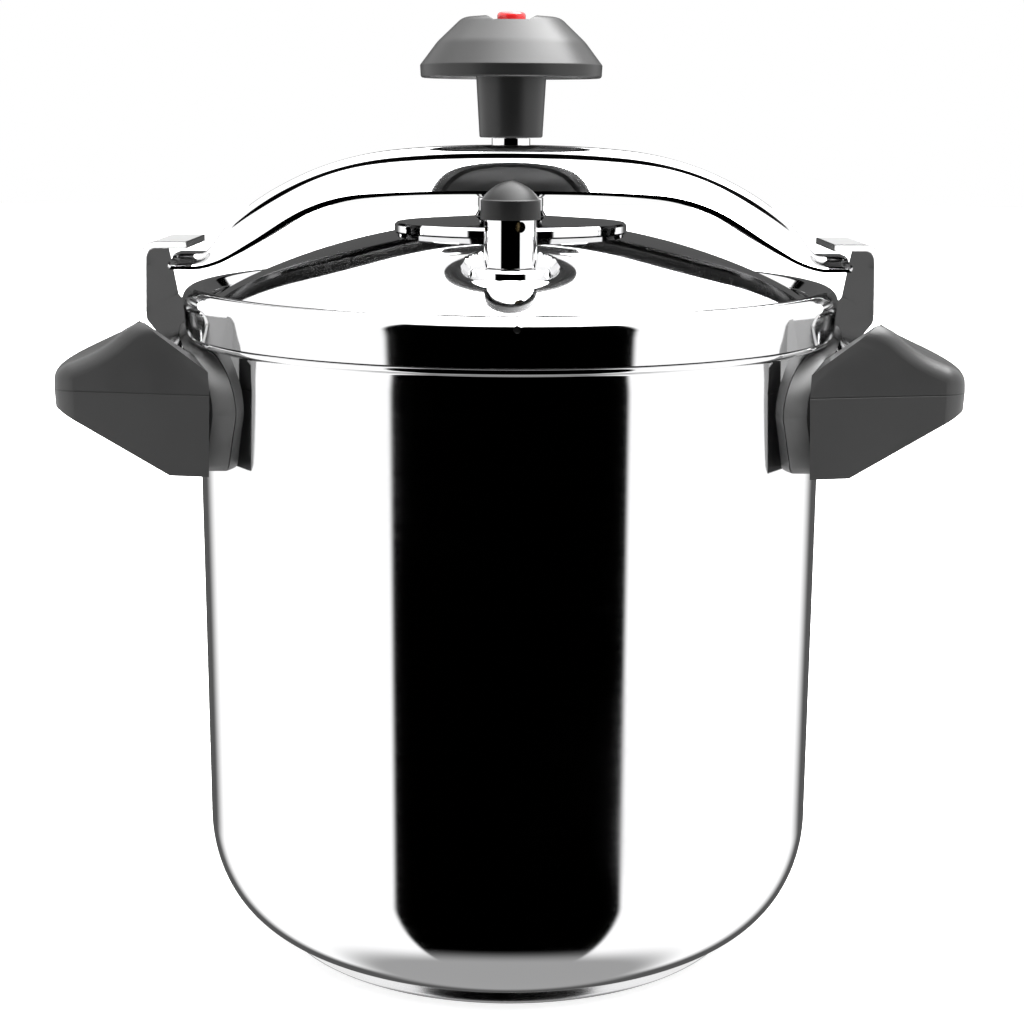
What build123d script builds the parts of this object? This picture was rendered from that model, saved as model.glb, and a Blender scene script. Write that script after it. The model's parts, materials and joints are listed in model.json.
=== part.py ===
from build123d import *
import os
from math import sqrt

# Stovetop pressure cooker with a bridge (yoke) closure.
# Origin: middle of the base underside.  +Z up, +X towards the right handle, -Y front.

os.makedirs("parts", exist_ok=True)

# ---------------------------------------------------------------- driving dimensions (mm)
POT_RADIUS = 121.0
POT_WALL = 1.2
POT_RIM_Z = 241.0
FLANGE_RADIUS = 124.6
FLANGE_HEIGHT = 2.6
CORNER_ACROSS = 28.0
CORNER_UP = 40.0
BASE_HEIGHT = 6.5
BASE_RADIUS = 95.0
BASE_SHEET = 0.8

LID_SHEET = 1.2
DOME_RADIUS = 245.0
DOME_TOP = 282.3
DOME_CENTRE_Z = DOME_TOP - DOME_RADIUS
CREASE_RADIUS = 115.0
BEAD_TOP_Z = 258.0
LID_RADIUS = 126.8
LID_EDGE_Z = 241.3
VALVE_REACH = 75.0
SEAT_Z = 266.8
SEAT_RADIUS = 15.2

HANDLE_BOTTOM_Z = 194.5
HANDLE_TOP_Z = 250.3
PAD_TOP_Z = 237.0
CLASP_INNER = 128.0
CLASP_SHEET = 2.6
POST_X = 137.4
POST_LEAN = 1.8
RAMP_SLOPE = 0.75
RAMP_X = 130.0
RAMP_Z = 243.8
HOOK_TIP_X = 122.3
HOOK_UNDER_Z = 272.4
SCREW_Y = 26.0
SCREW_Z = 214.0

BRIDGE_HALF_WIDTH = 20.0
BRIDGE_SHEET = 2.0
BRIDGE_TOP_Z = 311.0
TONGUE_TIP_X = 130.0

SPINDLE_RADIUS = 6.0
STEM_BOTTOM_Z = 313.8
KNOB_RADIUS = 34.8
KNOB_RIM_Z = 336.0
KNOB_TOP_Z = 359.2
KNOB_CAP_Z = 360.4
FIT = 0.05
GAP = 0.3


# ---------------------------------------------------------------- helpers
def dome_z(radius, inset=0.0):
    """Height of the lid's dome at a radius, on its outer face or inset from it."""
    return DOME_CENTRE_Z + sqrt((DOME_RADIUS - inset) ** 2 - radius**2)


def turned(profile, centre=(0, 0)):
    """A solid of revolution from (radius, z) points, about a vertical axis."""
    with BuildPart() as piece:
        with BuildSketch(Plane((centre[0], centre[1], 0), (1, 0, 0), (0, -1, 0))):
            with BuildLine():
                Polyline(*profile, close=True)
            make_face()
        revolve(axis=Axis((centre[0], centre[1], 0), (0, 0, 1)))
    return piece


def save(piece, name):
    """Label a finished piece and write its STEP file."""
    piece.part.label = name
    export_step(piece.part, f"parts/{name}.step")


def save_pair(right, name):
    """Write a side piece for the right handle, and its mirror image for the left."""
    with BuildPart() as left:
        mirror(right.part, about=Plane.YZ)
    save(right, f"{name}_right")
    save(left, f"{name}_left")


# ---------------------------------------------------------------- pot and base
def pot_outline(wall, top_z):
    """Half outline of the pot, inset by a wall."""
    corner_x = POT_RADIUS - CORNER_ACROSS
    corner_z = BASE_HEIGHT + CORNER_UP
    across = CORNER_ACROSS - wall
    up = CORNER_UP - wall
    with BuildLine() as outline:
        Line((0, BASE_HEIGHT + wall), (corner_x, BASE_HEIGHT + wall))
        EllipticalCenterArc((corner_x, corner_z), across, up, start_angle=270, arc_size=90)
        Line((POT_RADIUS - wall, corner_z), (POT_RADIUS - wall, top_z))
        Line((POT_RADIUS - wall, top_z), (0, top_z))
        Line((0, top_z), (0, BASE_HEIGHT + wall))
    return outline.edges()


with BuildPart() as pot_body:
    with BuildSketch(Plane.XZ):
        make_face(pot_outline(0, POT_RIM_Z))
    revolve(axis=Axis.Z)
    with Locations((0, 0, POT_RIM_Z)):
        Cylinder(FLANGE_RADIUS, FLANGE_HEIGHT, align=(Align.CENTER, Align.CENTER, Align.MAX))
    with BuildSketch(Plane.XZ):
        make_face(pot_outline(POT_WALL, POT_RIM_Z + POT_WALL))
    revolve(axis=Axis.Z, mode=Mode.SUBTRACT)
    flange_edges = pot_body.edges().filter_by(lambda e: abs(e.bounding_box().max.X - FLANGE_RADIUS) < 0.01)
    fillet(flange_edges.filter_by(GeomType.CIRCLE), 1.2)
save(pot_body, "pot_body")

base_cap = turned(
    [
        (0, 0),
        (BASE_RADIUS - 1.5, 0),
        (BASE_RADIUS - 0.4, 0.5),
        (BASE_RADIUS, 1.6),
        (BASE_RADIUS, BASE_HEIGHT),
        (BASE_RADIUS - BASE_SHEET, BASE_HEIGHT),
        (BASE_RADIUS - BASE_SHEET, BASE_SHEET + 0.8),
        (BASE_RADIUS - 2.4, BASE_SHEET),
        (0, BASE_SHEET),
    ]
)
save(base_cap, "base_cap")

CORE_RADIUS = BASE_RADIUS - 2.5
with BuildPart() as base_core:
    with Locations((0, 0, BASE_SHEET)):
        Cylinder(CORE_RADIUS, BASE_HEIGHT - BASE_SHEET, align=(Align.CENTER, Align.CENTER, Align.MIN))
save(base_core, "base_core")

# ---------------------------------------------------------------- lid
RECESS_RADIUS = 11.0
RECESS_Z = 278.0
RIM_HOLE_RADIUS = 1.3
RIM_HOLE = (2.3, 254.0)


def seat_skirt(side_y):
    """Flat pressed seat in the dome for a valve, its wall following the dome."""
    centre = (0, side_y)
    base_z = SEAT_Z - LID_SHEET
    with BuildPart() as disc:
        with Locations((*centre, base_z)):
            Cylinder(SEAT_RADIUS, LID_SHEET, align=(Align.CENTER, Align.CENTER, Align.MIN))
    with BuildPart() as raised:
        with BuildSketch(Plane.XY.offset(base_z - 14)):
            with Locations(centre):
                Circle(SEAT_RADIUS)
                Circle(SEAT_RADIUS - LID_SHEET, mode=Mode.SUBTRACT)
        extrude(amount=14 + LID_SHEET / 2)
        with Locations((0, 0, DOME_CENTRE_Z)):
            Sphere(DOME_RADIUS - LID_SHEET, mode=Mode.SUBTRACT)
    with BuildPart() as sunk:
        with BuildSketch(Plane.XY.offset(base_z)):
            with Locations(centre):
                Circle(SEAT_RADIUS)
                Circle(SEAT_RADIUS - LID_SHEET, mode=Mode.SUBTRACT)
        extrude(amount=14)
        with Locations((0, 0, DOME_CENTRE_Z)):
            Sphere(DOME_RADIUS, mode=Mode.INTERSECT)
    with BuildPart() as seat:
        add(disc.part)
        add(raised.part)
        add(sunk.part)
    return seat


with BuildPart() as lid:
    with BuildSketch(Plane.XZ):
        with BuildLine():
            recess = Line((0, RECESS_Z), (RECESS_RADIUS, RECESS_Z))
            lip = Line(recess @ 1, (RECESS_RADIUS + 2, dome_z(RECESS_RADIUS + 2)))
            dome = ThreePointArc(lip @ 1, (70, dome_z(70)), (CREASE_RADIUS, dome_z(CREASE_RADIUS)))
            FilletPolyline(
                dome @ 1,
                (CREASE_RADIUS + 4, BEAD_TOP_Z),
                (LID_RADIUS, BEAD_TOP_Z - 0.2),
                (LID_RADIUS - 1, LID_EDGE_Z),
                radius=[2.5, 5],
            )
            offset(amount=LID_SHEET, side=Side.RIGHT)
        make_face()
    revolve(axis=Axis.Z)
    for side in (-1, 1):
        with Locations((0, side * VALVE_REACH, SEAT_Z)):
            Cylinder(SEAT_RADIUS - LID_SHEET / 2, 40, mode=Mode.SUBTRACT)
        add(seat_skirt(side * VALVE_REACH).part)
        with Locations((0, side * VALVE_REACH, SEAT_Z)):
            Cylinder(5.0, 6, mode=Mode.SUBTRACT)
    with BuildSketch(Plane.XZ.offset(LID_RADIUS - 6)):
        with Locations(RIM_HOLE):
            Circle(RIM_HOLE_RADIUS)
    extrude(amount=10, mode=Mode.SUBTRACT)
save(lid, "lid")

GASKET_OUTER = 124.2
with BuildPart() as gasket:
    with BuildSketch(Plane.XZ):
        with BuildLine():
            Polyline(
                (GASKET_OUTER, LID_EDGE_Z - 0.2),
                (GASKET_OUTER, 252.5),
                (GASKET_OUTER - 1.5, 254.5),
                (118.6, 254.5),
                (117.4, 252.0),
                (117.4, 245.5),
                (111.0, 244.0),
                (110.4, LID_EDGE_Z + 0.6),
                (111.4, LID_EDGE_Z - 0.2),
                close=True,
            )
        make_face()
    revolve(axis=Axis.Z)
save(gasket, "gasket")

# ---------------------------------------------------------------- pressure plate and spindle
PLATE_RADIUS = 45.0
PLATE_HOLE = 6.3
PLATE_TOP_Z = 284.0
PLATE_RIM_Z = dome_z(PLATE_RADIUS - 1.4) + 0.05

pressure_plate = turned(
    [
        (PLATE_HOLE, PLATE_TOP_Z - 1.4),
        (RECESS_RADIUS + 3, PLATE_TOP_Z - 1.4),
        (PLATE_RADIUS - 2, PLATE_RIM_Z + 1.9),
        (PLATE_RADIUS - 1.4, PLATE_RIM_Z),
        (PLATE_RADIUS, PLATE_RIM_Z),
        (PLATE_RADIUS, PLATE_RIM_Z + 2.4),
        (PLATE_RADIUS - 0.9, PLATE_RIM_Z + 3.3),
        (RECESS_RADIUS + 3, PLATE_TOP_Z),
        (PLATE_HOLE, PLATE_TOP_Z),
    ]
)
save(pressure_plate, "pressure_plate")

FOOT_RADIUS = 9.0
FOOT_Z = RECESS_Z + 1.0
FOOT_TOP_Z = PLATE_TOP_Z - 1.5
bearing_washer = turned(
    [(0, RECESS_Z), (FOOT_RADIUS + 0.5, RECESS_Z), (FOOT_RADIUS + 0.5, FOOT_Z - FIT), (0, FOOT_Z - FIT)]
)
save(bearing_washer, "bearing_washer")

COLLAR_Z = (PLATE_TOP_Z + GAP, 291.0)
COLLAR_RADIUS = 12.6
PIN_RADIUS = 1.5
PIN_Z = 287.6
SHOULDER_Z = 330.0
SPINDLE_END_Z = 349.6
THREAD_RADIUS = 3.0
SQUARE_SIZE = 8.0

with BuildPart() as spindle:
    with Locations((0, 0, FOOT_Z)):
        Cylinder(FOOT_RADIUS, FOOT_TOP_Z - FOOT_Z, align=(Align.CENTER, Align.CENTER, Align.MIN))
        Cylinder(SPINDLE_RADIUS, SHOULDER_Z - FOOT_Z, align=(Align.CENTER, Align.CENTER, Align.MIN))
    chamfer(spindle.faces().sort_by(Axis.Z)[-1].edges(), 0.6)
    with BuildSketch(Plane.XY.offset(SHOULDER_Z)):
        Rectangle(SQUARE_SIZE, SQUARE_SIZE)
    extrude(amount=SPINDLE_END_Z - SHOULDER_Z)
    with Locations((0, 0, SPINDLE_END_Z)):
        Hole(THREAD_RADIUS, depth=14)
    with Locations(Location((0, 0, PIN_Z), (90, 0, 0))):
        Cylinder(PIN_RADIUS, 40, mode=Mode.SUBTRACT)
save(spindle, "spindle")

with BuildPart() as spindle_collar:
    with BuildSketch(Plane.XZ):
        with BuildLine():
            Line((SPINDLE_RADIUS + 0.02, COLLAR_Z[0]), (COLLAR_RADIUS + 1.2, COLLAR_Z[0]))
            Line((COLLAR_RADIUS + 1.2, COLLAR_Z[0]), (COLLAR_RADIUS, COLLAR_Z[0] + 2))
            Line((COLLAR_RADIUS, COLLAR_Z[0] + 2), (COLLAR_RADIUS, COLLAR_Z[1]))
            Line((COLLAR_RADIUS, COLLAR_Z[1]), (SPINDLE_RADIUS + 0.02, COLLAR_Z[1]))
            Line((SPINDLE_RADIUS + 0.02, COLLAR_Z[1]), (SPINDLE_RADIUS + 0.02, COLLAR_Z[0]))
        make_face()
    revolve(axis=Axis.Z)
    with Locations(Location((0, 0, PIN_Z), (90, 0, 0))):
        Cylinder(PIN_RADIUS, 40, mode=Mode.SUBTRACT)
save(spindle_collar, "spindle_collar")

with BuildPart() as collar_pin:
    with Locations(Location((0, 0, PIN_Z), (90, 0, 0))):
        Cylinder(PIN_RADIUS - 0.01, 2 * COLLAR_RADIUS - 1)
save(collar_pin, "collar_pin")

# ---------------------------------------------------------------- bridge and its nut
NUT_Z = (291.4, BRIDGE_TOP_Z - BRIDGE_SHEET - 0.35)
NUT_RADIUS = 12.6
NUT_FLARE = 14.2
NUT_SHOULDER = 8.9
NECK_RADIUS = 6.9
BUSH_RADIUS = 7.4
BUSH_TOP_Z = BRIDGE_TOP_Z + 2.5


CROWN_LINE = (
    (0, 311.0, 0),
    (43.5, 309.1, -0.1),
    (81.5, 298.9, -0.47),
    (108.6, 281.2, -0.92),
    (119.6, 269.6, 0),
    (TONGUE_TIP_X, 269.6, 0),
)
EDGE_LINE = (
    (0, 293.0, 0),
    (55.0, 291.3, -0.1),
    (79.2, 284.2, -0.48),
    (98.4, 273.0, -0.55),
    (113.0, 265.7, -0.3),
    (120.0, 264.3, 0),
    (TONGUE_TIP_X, 264.3, 0),
)
OUTER_STATIONS = (0, 22, 44, 56, 67, 77, 86, 94, 101, 107, 111, 114, 117, 119.6, 125, TONGUE_TIP_X)
INNER_STATIONS = (0, 22, 44, 56, 67, 77, 86, 94, 101, 107)
CROWN_HALF = 9.5
CROWN_SHARE = 0.3
EDGE_LIP = 1.2


def height_on(line, x):
    """Height at x on a line of (x, z, slope) knots joined by cubic curves."""
    for (x0, z0, m0), (x1, z1, m1) in zip(line, line[1:]):
        if x <= x1:
            span = x1 - x0
            t = (x - x0) / span
            start = z0 * (1 + 2 * t) + m0 * span * t
            end = z1 * (3 - 2 * t) + m1 * span * (t - 1)
            return start * (1 - t) ** 2 + end * t**2
    return line[-1][1]


def bridge_section(x, sheet):
    """Hat-shaped section of the bridge at x: raised crown, flared flanks, short edge lips."""
    top_z = height_on(CROWN_LINE, x)
    edge_z = height_on(EDGE_LINE, x)
    crown = CROWN_SHARE * (top_z - edge_z)
    drop = top_z - crown - edge_z - EDGE_LIP
    flare = BRIDGE_HALF_WIDTH - CROWN_HALF
    bottom = edge_z - (2 * sheet if sheet else 0)
    half = [
        (CROWN_HALF - 3.0 - 0.3 * sheet, top_z - sheet),
        (CROWN_HALF - 0.8 - 0.6 * sheet, top_z - 0.3 * crown - 0.8 * sheet),
        (CROWN_HALF - 0.8 * sheet, top_z - crown - 0.6 * sheet),
        (CROWN_HALF + 0.4 * flare - 0.6 * sheet, top_z - crown - 0.56 * drop - 0.8 * sheet),
        (BRIDGE_HALF_WIDTH - sheet, edge_z + EDGE_LIP - 0.5 * sheet),
        (BRIDGE_HALF_WIDTH - sheet, bottom),
    ]
    return half + [(-y, z) for y, z in reversed(half)]


def loft_bridge(stations, sheet):
    """Half of the bridge's outer body, or of the hollow under its sheet."""
    with BuildPart() as body:
        for x in stations:
            with BuildSketch(Plane.YZ.offset(x)):
                with BuildLine():
                    Polyline(*bridge_section(x, sheet), close=True)
                make_face()
        loft(ruled=True)
    return body


with BuildPart() as bridge_half:
    add(loft_bridge(OUTER_STATIONS, 0).part)
    add(loft_bridge(INNER_STATIONS, BRIDGE_SHEET).part, mode=Mode.SUBTRACT)

with BuildPart() as bridge:
    add(bridge_half.part)
    mirror(bridge_half.part, about=Plane.YZ)
    with Locations((0, 0, BRIDGE_TOP_Z)):
        Cylinder(NECK_RADIUS, 10, mode=Mode.SUBTRACT)
save(bridge, "bridge")

with BuildPart() as bridge_nut:
    with BuildSketch(Plane.XZ):
        with BuildLine():
            Polyline(
                (SPINDLE_RADIUS + FIT, NUT_Z[0]),
                (NUT_RADIUS, NUT_Z[0]),
                (NUT_FLARE, NUT_Z[0] + 1.8),
                (NUT_SHOULDER + 1.5, NUT_Z[0] + 6.0),
                (NUT_SHOULDER - 1.5, NUT_Z[0] + 13.5),
                (NUT_SHOULDER - 1.9, NUT_Z[1]),
                (NECK_RADIUS - 0.01, NUT_Z[1]),
                (NECK_RADIUS - 0.01, BRIDGE_TOP_Z - 0.4),
                (SPINDLE_RADIUS + FIT, BRIDGE_TOP_Z - 0.4),
                close=True,
            )
        make_face()
    revolve(axis=Axis.Z)
save(bridge_nut, "bridge_nut")

bridge_bush = turned(
    [
        (SPINDLE_RADIUS + FIT, BRIDGE_TOP_Z + 0.01),
        (BUSH_RADIUS, BRIDGE_TOP_Z + 0.01),
        (BUSH_RADIUS, BUSH_TOP_Z),
        (SPINDLE_RADIUS + FIT, BUSH_TOP_Z),
    ]
)
save(bridge_bush, "bridge_bush")

# ---------------------------------------------------------------- knob
STEM_RADIUS = (12.1, 13.5)
INSERT_RADIUS = 8.0
INSERT_Z = (331.0, 349.8)
WASHER_Z = 351.2
PLUG_RADIUS = 5.4
PLUG_SEAT_Z = 354.6
RIM_LIP = 2.2

BORE_RADIUS = SPINDLE_RADIUS + 0.4
BUSH_BORE = (BUSH_RADIUS + 0.4, 317.0)
PLUG_BORE = PLUG_RADIUS + 0.05
TROUGH_HALF = 6.6
TROUGH_FLARE = 4.6
TROUGH_Z = 357.0

with BuildPart() as knob_body:
    with BuildSketch(Plane.XZ):
        with BuildLine():
            inside = Polyline(
                (PLUG_BORE, KNOB_TOP_Z - 1.0),
                (PLUG_BORE, INSERT_Z[1]),
                (INSERT_RADIUS, INSERT_Z[1]),
                (INSERT_RADIUS, INSERT_Z[0]),
                (BORE_RADIUS, INSERT_Z[0]),
                (BORE_RADIUS, BUSH_BORE[1]),
                (BUSH_BORE[0], BUSH_BORE[1]),
                (BUSH_BORE[0], STEM_BOTTOM_Z),
                (STEM_RADIUS[0], STEM_BOTTOM_Z),
                (STEM_RADIUS[1], KNOB_RIM_Z + RIM_LIP),
                (KNOB_RADIUS - 6, KNOB_RIM_Z + RIM_LIP),
                (KNOB_RADIUS - 4, KNOB_RIM_Z),
            )
            FilletPolyline(
                inside @ 1,
                (KNOB_RADIUS - 0.3, KNOB_RIM_Z),
                (KNOB_RADIUS, KNOB_RIM_Z + 4.8),
                (28.2, 349.4),
                (18.6, 358.4),
                (9.5, KNOB_TOP_Z),
                inside @ 0,
                radius=[1.0, 0.8, 16, 5, 1.0],
            )
        make_face()
    revolve(axis=Axis.Z)
    with BuildSketch(Plane.XZ):
        with BuildLine():
            Polyline(
                (-TROUGH_HALF, TROUGH_Z),
                (TROUGH_HALF, TROUGH_Z),
                (TROUGH_HALF + TROUGH_FLARE, KNOB_TOP_Z + 0.6),
                (-TROUGH_HALF - TROUGH_FLARE, KNOB_TOP_Z + 0.6),
                close=True,
            )
        make_face()
    extrude(amount=KNOB_RADIUS, both=True, mode=Mode.SUBTRACT)
save(knob_body, "knob_body")

with BuildPart() as knob_insert:
    with Locations((0, 0, INSERT_Z[0])):
        Cylinder(
            INSERT_RADIUS - 0.01,
            INSERT_Z[1] - INSERT_Z[0],
            align=(Align.CENTER, Align.CENTER, Align.MIN),
        )
    with BuildSketch(Plane.XY.offset(INSERT_Z[0])):
        Rectangle(SQUARE_SIZE + 0.04, SQUARE_SIZE + 0.04)
    extrude(amount=INSERT_Z[1] - INSERT_Z[0], mode=Mode.SUBTRACT)
save(knob_insert, "knob_insert")

knob_washer = turned(
    [
        (THREAD_RADIUS + 0.1, INSERT_Z[1]),
        (PLUG_RADIUS - 0.1, INSERT_Z[1]),
        (PLUG_RADIUS - 0.1, WASHER_Z),
        (THREAD_RADIUS + 0.1, WASHER_Z),
    ]
)
save(knob_washer, "knob_washer")

SCREW_HEAD_Z = 354.2
with BuildPart() as knob_screw:
    with Locations((0, 0, WASHER_Z - 12)):
        Cylinder(THREAD_RADIUS - 0.02, 12, align=(Align.CENTER, Align.CENTER, Align.MIN))
    with Locations((0, 0, WASHER_Z)):
        Cylinder(PLUG_RADIUS - 0.4, SCREW_HEAD_Z - WASHER_Z, align=(Align.CENTER, Align.CENTER, Align.MIN))
    fillet(knob_screw.faces().sort_by(Axis.Z)[-1].edges(), 0.8)
    with BuildSketch(Plane.XY.offset(SCREW_HEAD_Z)):
        Rectangle(5.2, 1.0)
        Rectangle(1.0, 5.2)
    extrude(amount=-1.8, mode=Mode.SUBTRACT)
save(knob_screw, "knob_screw")

with BuildPart() as knob_cap:
    with Locations((0, 0, PLUG_SEAT_Z)):
        Cylinder(PLUG_RADIUS, KNOB_CAP_Z - PLUG_SEAT_Z, align=(Align.CENTER, Align.CENTER, Align.MIN))
    fillet(knob_cap.faces().sort_by(Axis.Z)[-1].edges(), 1.4)
save(knob_cap, "knob_cap")

# ---------------------------------------------------------------- operating valve
FRONT = (0, -VALVE_REACH)
REAR = (0, VALVE_REACH)
COLLAR_TOP_Z = SEAT_Z + 3.2
VALVE_THREAD = 4.9
UNDER_SEAT_Z = SEAT_Z - LID_SHEET
SEAL_Z = UNDER_SEAT_Z - 1.5
NUT_UNDER_Z = 258.8
SLEEVE_RADIUS = 9.2
SLEEVE_WALL = 1.0
SLEEVE_Z = (COLLAR_TOP_Z + GAP, 290.2)
STEAM_HOLE = (1.9, 284.5)
PIPE_RADIUS = 4.0
PIPE_TOP_Z = 283.0
ORIFICE = 1.5

valve_collar = turned(
    [
        (VALVE_THREAD + 0.1, SEAT_Z),
        (14.5, SEAT_Z),
        (14.5, SEAT_Z + 2.2),
        (13.6, SEAT_Z + 3.0),
        (10.6, COLLAR_TOP_Z),
        (VALVE_THREAD + 0.1, COLLAR_TOP_Z),
    ],
    FRONT,
)
save(valve_collar, "valve_collar")

vent_pipe = turned(
    [
        (ORIFICE, PIPE_TOP_Z),
        (ORIFICE + 1.2, PIPE_TOP_Z - 3),
        (ORIFICE + 1.2, 252.5),
        (VALVE_THREAD - 0.1, 252.5),
        (VALVE_THREAD - 0.1, COLLAR_TOP_Z),
        (5.9, COLLAR_TOP_Z),
        (5.9, COLLAR_TOP_Z + 1.4),
        (PIPE_RADIUS, COLLAR_TOP_Z + 2.4),
        (PIPE_RADIUS, PIPE_TOP_Z - 1.5),
        (PIPE_RADIUS - 1.2, PIPE_TOP_Z),
    ],
    FRONT,
)
save(vent_pipe, "vent_pipe")


def under_seal(centre):
    """Rubber washer under a valve seat."""
    return turned(
        [
            (VALVE_THREAD + 0.05, SEAL_Z),
            (9.5, SEAL_Z),
            (9.5, UNDER_SEAT_Z),
            (VALVE_THREAD + 0.05, UNDER_SEAT_Z),
        ],
        centre,
    )


def under_nut(centre):
    """Hexagon nut that clamps a valve from below."""
    with BuildPart() as nut:
        with BuildSketch(Plane.XY.offset(NUT_UNDER_Z)):
            with Locations(centre):
                RegularPolygon(9.0, 6)
                Circle(VALVE_THREAD + 0.02, mode=Mode.SUBTRACT)
        extrude(amount=SEAL_Z - NUT_UNDER_Z)
    return nut


save(under_seal(FRONT), "vent_seal")
save(under_nut(FRONT), "vent_nut")

with BuildPart() as vent_filter:
    with BuildSketch(Plane.XY.offset(250.0)):
        with Locations(FRONT):
            Circle(7.4)
    extrude(amount=8.4)
    with BuildSketch(Plane.XY.offset(251.2)):
        with Locations(FRONT):
            Circle(6.2)
    extrude(amount=6.0, mode=Mode.SUBTRACT)
    with BuildSketch(Plane.XY.offset(256.0)):
        with Locations(FRONT):
            Circle(VALVE_THREAD + 0.02)
    extrude(amount=6.0, mode=Mode.SUBTRACT)
    for turn in (0, 60, 120):
        with BuildSketch(Plane.XY.offset(252.4)):
            with Locations(Location((*FRONT, 0), (0, 0, turn))):
                Rectangle(20, 2.4)
        extrude(amount=3.4, mode=Mode.SUBTRACT)
save(vent_filter, "vent_filter")

with BuildPart() as valve_sleeve:
    with BuildSketch(Plane.XY.offset(SLEEVE_Z[0])):
        with Locations(FRONT):
            Circle(SLEEVE_RADIUS)
            Circle(SLEEVE_RADIUS - SLEEVE_WALL, mode=Mode.SUBTRACT)
    extrude(amount=SLEEVE_Z[1] - SLEEVE_Z[0])
    for turn in (22, 112):
        with Locations(Location((*FRONT, STEAM_HOLE[1]), (0, 0, turn))):
            Cylinder(STEAM_HOLE[0], 30, rotation=(90, 0, 0), mode=Mode.SUBTRACT)
save(valve_sleeve, "valve_sleeve")

WEIGHT_RADIUS = 6.9
PIVOT_RADIUS = 3.0
valve_weight = turned(
    [
        (0, 281.7),
        (1.1, 283.3),
        (PIPE_RADIUS + GAP, 284.0),
        (PIPE_RADIUS + GAP, 274.0),
        (WEIGHT_RADIUS, 274.0),
        (WEIGHT_RADIUS, 287.2),
        (SLEEVE_RADIUS - SLEEVE_WALL - 0.01, 287.8),
        (SLEEVE_RADIUS - SLEEVE_WALL - 0.01, SLEEVE_Z[1]),
        (PIVOT_RADIUS, SLEEVE_Z[1]),
        (PIVOT_RADIUS, 296.6),
        (0, 296.6),
    ],
    FRONT,
)
save(valve_weight, "valve_weight")

CAP_RADIUS = 10.5
CAP_Z = (286.8, 293.4, 300.2)
with BuildPart() as valve_cap:
    with BuildSketch(Plane((*FRONT, 0), (1, 0, 0), (0, -1, 0))):
        with BuildLine():
            crown = ThreePointArc((0, CAP_Z[2]), (5.7, 298.0), (9.9, CAP_Z[1] + 0.4))
            Polyline(
                crown @ 1,
                (CAP_RADIUS, CAP_Z[1]),
                (CAP_RADIUS, CAP_Z[0]),
                (SLEEVE_RADIUS + 0.1 + GAP, CAP_Z[0]),
                (SLEEVE_RADIUS + 0.1 + GAP, SLEEVE_Z[1] + GAP),
                (PIVOT_RADIUS + FIT, SLEEVE_Z[1] + GAP),
                (PIVOT_RADIUS + FIT, 297.0),
                (0, 297.0),
                crown @ 0,
            )
        make_face()
    revolve(axis=Axis((*FRONT, 0), (0, 0, 1)))
save(valve_cap, "valve_cap")

# ---------------------------------------------------------------- safety valve
SAFETY_TOP_Z = 283.6
SAFETY_STEP_Z = 270.0
SAFETY_BORE = 4.4
SAFETY_THROAT = 2.8
ROD_RADIUS = 1.5
SPRING_RADIUS = 3.2
WIRE_RADIUS = 0.4
SPRING_Z = (274.0, 281.0)

with BuildPart() as safety_body:
    with BuildSketch(Plane.XY.offset(SEAT_Z)):
        with Locations(REAR):
            RegularPolygon(10.4, 6)
    extrude(amount=5)
    with BuildSketch(Plane.XY.offset(SEAT_Z)):
        with Locations(REAR):
            Circle(7.0)
    extrude(amount=SAFETY_TOP_Z - SEAT_Z)
    with BuildSketch(Plane.XY.offset(255.0)):
        with Locations(REAR):
            Circle(VALVE_THREAD - 0.02)
    extrude(amount=SEAT_Z - 255.0)
    with BuildSketch(Plane.XY.offset(SAFETY_STEP_Z)):
        with Locations(REAR):
            Circle(SAFETY_BORE)
    extrude(amount=SPRING_Z[1] + 0.2 - SAFETY_STEP_Z, mode=Mode.SUBTRACT)
    with BuildSketch(Plane.XY.offset(250.0)):
        with Locations(REAR):
            Circle(SAFETY_THROAT)
    extrude(amount=SAFETY_STEP_Z + 1 - 250.0, mode=Mode.SUBTRACT)
    with BuildSketch(Plane.XY.offset(SPRING_Z[1])):
        with Locations(REAR):
            Circle(ROD_RADIUS + GAP)
    extrude(amount=4, mode=Mode.SUBTRACT)
save(safety_body, "safety_body")

save(under_seal(REAR), "safety_seal")
save(under_nut(REAR), "safety_nut")

safety_pin = turned(
    [
        (0, 260.0),
        (ROD_RADIUS, 260.0),
        (ROD_RADIUS, SAFETY_STEP_Z - 1.6),
        (SAFETY_THROAT - GAP, SAFETY_STEP_Z - 0.8),
        (SAFETY_THROAT - GAP, SAFETY_STEP_Z + FIT),
        (SAFETY_BORE - GAP, SAFETY_STEP_Z + FIT),
        (SAFETY_BORE - GAP, SPRING_Z[0] - FIT),
        (ROD_RADIUS, SPRING_Z[0] - FIT),
        (ROD_RADIUS, SAFETY_TOP_Z + 1.2),
        (0, SAFETY_TOP_Z + 1.2),
    ],
    REAR,
)
save(safety_pin, "safety_pin")

SPRING_TURNS_Z = SPRING_Z[1] - SPRING_Z[0] - 2 * WIRE_RADIUS
with BuildPart() as safety_spring:
    with BuildLine(Plane((*REAR, SPRING_Z[0] + WIRE_RADIUS))) as coil:
        Helix(pitch=SPRING_TURNS_Z / 4, height=SPRING_TURNS_Z, radius=SPRING_RADIUS)
    with BuildSketch(Plane(coil.line @ 0, z_dir=coil.line % 0)):
        Circle(WIRE_RADIUS)
    sweep(path=coil.line)
save(safety_spring, "safety_spring")

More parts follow.
